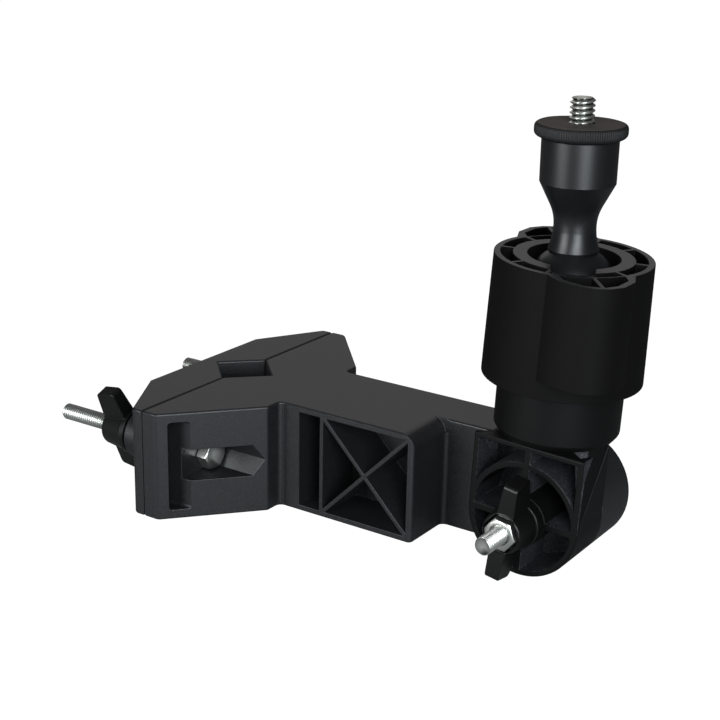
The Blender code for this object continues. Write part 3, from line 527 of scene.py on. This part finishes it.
def nut_piece(node, joint):
    """Closed ring: up the bore, over the chamfered face, down the flats and back underneath."""
    origin = Vector(joint["pos_m"])
    along = Vector(joint["axis"]).normalized()
    low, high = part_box(node)
    base, face = sorted((Vector(corner) - origin).dot(along) for corner in (low, high))
    mouth = BORE_RADIUS + BORE_LEAD
    bore = np.repeat([[mouth], [BORE_RADIUS], [BORE_RADIUS], [mouth]], HEX_COLUMNS, axis=1)
    upper = hex_radius(angles_round(HEX_COLUMNS)[None, :], CONE_DEPTHS[:, None])
    radius = np.concatenate([bore, upper, upper[::-1]])
    heights = np.concatenate([
        [base, base + BORE_LEAD, face - BORE_LEAD, face], face - CONE_DEPTHS, base + CONE_DEPTHS[::-1],
    ])
    height = np.repeat(heights[:, None], HEX_COLUMNS, axis=1)
    angle = np.broadcast_to(angles_round(HEX_COLUMNS)[None, :], height.shape)
    points = round_grid(radius, height, angle, origin, along, side_of(node))
    return finish_piece(grid_piece(f"{node}_chamfered", points, closed_rows=True), node, zinc)


def side_of(node):
    """Direction from the nut's axis to the middle of one of its flats, read from the CAD nut."""
    mesh = frame["nodes"][node].data
    normals = np.empty(len(mesh.polygons) * 3)
    areas = np.empty(len(mesh.polygons))
    mesh.polygons.foreach_get("normal", normals)
    mesh.polygons.foreach_get("area", areas)
    normals = normals.reshape(-1, 3)
    axis = np.array(joints_by_node[node]["axis"], float)
    level = np.abs(normals @ axis) < 0.01
    return normals[level][np.argmax(areas[level])]


joints_by_node = {
    "clamp_bolt_front": joints["front_knob_turn"], "clamp_nut_front": joints["front_knob_turn"],
    "clamp_bolt_rear": joints["rear_knob_turn"], "clamp_nut_rear": joints["rear_knob_turn"],
    "hinge_bolt": joints["hinge_knob_turn"], "hinge_nut": joints["hinge_knob_turn"],
}
for node in ("clamp_bolt_front", "clamp_bolt_rear"):
    bolt_piece(node, joints_by_node[node], 36 * MM)
bolt_piece("hinge_bolt", joints_by_node["hinge_bolt"], 24 * MM)
for node in ("clamp_nut_front", "clamp_nut_rear", "hinge_nut"):
    nut_piece(node, joints_by_node[node])
print("bolts and nuts:", len(joints_by_node))

# %% [markdown]
# The ball, its waisted stem and the cup under the camera are one moulding, turned smooth. Its
# profile is read from the CAD solid's own rings, and those rings are turned again with many more sides,
# which removes the facets round the axis. The stud is the same kind of grid with a coarser thread.

# %% Ball stem, stud and pad
ball = Vector(joints["ball_tilt"]["pos_m"])
UPRIGHT = (0, 0, 1)
SMOOTH_COLUMNS = 128
PAD_EDGE = 1.3 * MM
RIB_PITCH = 0.62 * MM
RIB_DEPTH = 0.22 * MM
WAVE_HEIGHT = 0.08 * MM
RIPPLE_HEIGHT = 0.05 * MM


def ring_profile(node, centre):
    """Outer (radius, height) pairs of a turned solid, one for each ring of its vertices."""
    mesh = frame["nodes"][node].data
    points = np.empty(len(mesh.vertices) * 3)
    mesh.vertices.foreach_get("co", points)
    points = points.reshape(-1, 3) - np.array(centre)
    radius = np.hypot(points[:, 0], points[:, 1])
    rings = np.unique(np.round(np.stack([points[:, 2], radius], axis=1), 5), axis=0)
    return rings[:, 1], rings[:, 0]


def stem_piece():
    """Ball, stem and cup as one smooth surface of revolution."""
    radius, height = ring_profile("ball_stem", ball)
    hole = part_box("camera_stud")[1].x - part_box("camera_stud")[0].x
    outer = radius > hole / 2 + 0.6 * MM
    bottom = height.argmin()
    radius = np.concatenate([[radius[bottom]], radius[outer]])
    height = np.concatenate([[height[bottom]], height[outer]])
    order = np.lexsort((-radius, height))
    radius, height = radius[order], height[order]
    well = hole / 2 + 0.3 * MM
    top = height[-1]
    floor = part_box("camera_stud")[0].z - ball.z - 0.3 * MM
    radius = np.concatenate([radius, [well, well, 0]])
    height = np.concatenate([height, [top, floor, floor]])
    radius = np.repeat(radius[:, None], SMOOTH_COLUMNS, axis=1)
    height = np.repeat(height[:, None], SMOOTH_COLUMNS, axis=1)
    angle = np.broadcast_to(angles_round(SMOOTH_COLUMNS)[None, :], radius.shape)
    grid = round_grid(radius, height, angle, ball, UPRIGHT, (1, 0, 0))
    piece = grid_piece("ball_stem_turned", grid, sharp_degrees=24)
    return finish_piece(piece, "ball_stem", stem_plastic)


def stud_piece():
    """Camera stud: a rod with a quarter-inch thread and a chamfered tip."""
    low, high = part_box("camera_stud")
    major = (high.x - low.x) / 2
    heights = rod_rows(low.z, high.z, CAMERA_PITCH, 14)
    columns = 64
    height = np.repeat(np.concatenate([[low.z], heights, [high.z]])[:, None], columns, axis=1)
    angle = np.broadcast_to(angles_round(columns)[None, :], height.shape)
    radius = thread_radius(angle, height, major, CAMERA_PITCH, low.z, high.z)
    radius[[0, -1]] = 0
    valley_shade = valley_depth(radius, major, CAMERA_PITCH)
    valley_shade[[0, -1]] = 0
    points = round_grid(radius, height, angle, (ball.x, ball.y, 0), UPRIGHT, (1, 0, 0))
    piece = grid_piece("camera_stud_threaded", points, valley_shade=valley_shade)
    return finish_piece(piece, "camera_stud", zinc)


def pad_piece():
    """Rubber pad: a rounded ring whose edge is cut by fine upright ribs.

    The section is a rounded box that rests on the cup. The rim's radius drops by a raised cosine of
    rib count times angle, and two slow waves keep the disc from being perfectly level.
    """
    low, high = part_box("camera_pad")
    low.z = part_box("ball_stem")[1].z
    outer = (high.x - low.x) / 2
    inner = (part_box("camera_stud")[1].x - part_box("camera_stud")[0].x) / 2 + 0.15 * MM
    ribs = int(round(2 * np.pi * outer / RIB_PITCH))
    columns = ribs * 6
    edge = PAD_EDGE
    turn = np.linspace(-np.pi / 2, 0, 7)
    lower = np.stack([outer - edge + edge * np.cos(turn), low.z + edge + edge * np.sin(turn)])
    upper = np.stack([lower[0][::-1], high.z + low.z - lower[1][::-1]])
    face = np.array([[inner, outer - 2 * edge], [high.z, high.z]])
    base = np.array([[outer - 2 * edge, inner], [low.z, low.z]])
    section = np.concatenate([base[:, ::-1], lower, upper, face[:, ::-1]], axis=1)
    angle = np.broadcast_to(angles_round(columns)[None, :], (section.shape[1], columns))
    rim = np.clip((section[0] - (outer - 0.8 * edge)) / (0.8 * edge), 0, 1)[:, None]
    rib = 0.5 + 0.5 * np.cos(ribs * angle)
    radius = section[0][:, None] - RIB_DEPTH * rim * rib
    wave = WAVE_HEIGHT * np.sin(2 * angle + 0.6) + RIPPLE_HEIGHT * np.sin(5 * angle)
    height = section[1][:, None] + wave * (section[0][:, None] / outer) ** 4
    centre = (ball.x, ball.y, 0)
    grid = round_grid(radius, height, angle, centre, UPRIGHT, (1, 0, 0))
    piece = grid_piece("camera_pad_ribbed", grid, closed_rows=True, sharp_degrees=60)
    finish_piece(piece, "camera_pad", rubber)
    refinish(piece, dusty_rubber, (0.8, 1.1), lambda x, y, z: z > 0)
    return piece


for piece in (stem_piece(), stud_piece(), pad_piece()):
    print(piece.name, "faces:", len(piece.data.polygons))

# %% [markdown]
# The mount stands on a white sweep in even studio light. The floor and the world show plain white
# to the camera through the Is Camera Ray output, and they light the mount more gently than that, so
# the black plastic stays black. A large lamp behind gives the level faces their warm grey, and the
# cooler boxes in front model the upright faces.

# %% Floor, world and lamps
FLOOR_HALF = 3.0
FLOOR_DROP = 0.4 * MM
GLOW_STRENGTH = 1.17
GLOW_SHARE = 0.86
corners = [(x * FLOOR_HALF, y * FLOOR_HALF, 0) for x, y in ((-1, -1), (1, -1), (1, 1), (-1, 1))]
floor_mesh = bpy.data.meshes.new("floor")
floor_mesh.from_pydata(corners, [], [(0, 1, 2, 3)])
floor = bpy.data.objects.new("floor", floor_mesh)
bpy.context.scene.collection.objects.link(floor)
floor.location.z = -FLOOR_DROP
floor_material = bpy.data.materials.new("white paper sweep")
floor_material.use_nodes = True
tree = floor_material.node_tree
paper = tree.nodes["Principled BSDF"]
paper.inputs["Roughness"].default_value = 0.9
seen = add(tree, "ShaderNodeLightPath")
pale = add(tree, "ShaderNodeMapRange", {
    "Value": seen.outputs["Is Camera Ray"], "To Min": 0.3, "To Max": 0.85,
})
tree.links.new(pale.outputs["Result"], paper.inputs["Base Color"])
glow = add(tree, "ShaderNodeEmission", {"Color": (1, 1, 1, 1), "Strength": GLOW_STRENGTH})
share = add(tree, "ShaderNodeMath", {
    0: seen.outputs["Is Camera Ray"], 1: GLOW_SHARE,
}, operation="MULTIPLY")
blend = add(tree, "ShaderNodeMixShader", {0: share.outputs[0], 1: paper.outputs[0], 2: glow.outputs[0]})
tree.links.new(blend.outputs[0], tree.nodes["Material Output"].inputs["Surface"])
floor_mesh.materials.append(floor_material)
floor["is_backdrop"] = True

world = bpy.data.worlds.new("studio")
bpy.context.scene.world = world
world.use_nodes = True
tree = world.node_tree
tree.nodes.clear()
seen = add(tree, "ShaderNodeLightPath")
room = add(tree, "ShaderNodeBackground", {"Color": (0.93, 0.96, 1.0, 1), "Strength": 0.08})
white = add(tree, "ShaderNodeBackground", {"Color": (1, 1, 1, 1), "Strength": 1.0})
blend = add(tree, "ShaderNodeMixShader", {
    0: seen.outputs["Is Camera Ray"], 1: room.outputs[0], 2: white.outputs[0],
})
add(tree, "ShaderNodeOutputWorld", {"Surface": blend.outputs[0]})


def lamp(name, turn, height, distance, size, power, colour):
    """Square soft box that faces the mount: turned from -Y towards +X, and raised, by degrees."""
    right, up, back = camera_axes(turn, height, 0)
    data = bpy.data.lights.new(name, "AREA")
    data.size = size
    data.energy = power
    data.color = colour
    box = bpy.data.objects.new(name, data)
    bpy.context.scene.collection.objects.link(box)
    facing = Matrix((right, up, back)).transposed().to_4x4()
    box.matrix_world = Matrix.Translation(AIM + distance * back) @ facing


lamp("back_box", 214, 35, 0.8, 0.7, 0.66, (1.0, 0.95, 0.93))
lamp("camera_box", 40, 28, 0.8, 0.4, 3.0, (0.92, 0.97, 1.0))
lamp("low_box", 48, 4, 0.8, 0.4, 4.0, (0.88, 0.95, 1.0))
lamp("left_box", -20, 12, 0.8, 0.4, 3.6, (0.95, 0.97, 1.0))
bpy.context.scene.view_settings.view_transform = "Standard"

# %% [markdown]
# The visual model must keep to the solids' size, so both boxes are written down to be compared.

# %% Sizes and the end
low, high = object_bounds()
differences = [abs(a - b) / MM for a, b in zip([*low, *high], [*cad_low, *cad_high])]
print("largest difference in mm:", round(max(differences), 2))
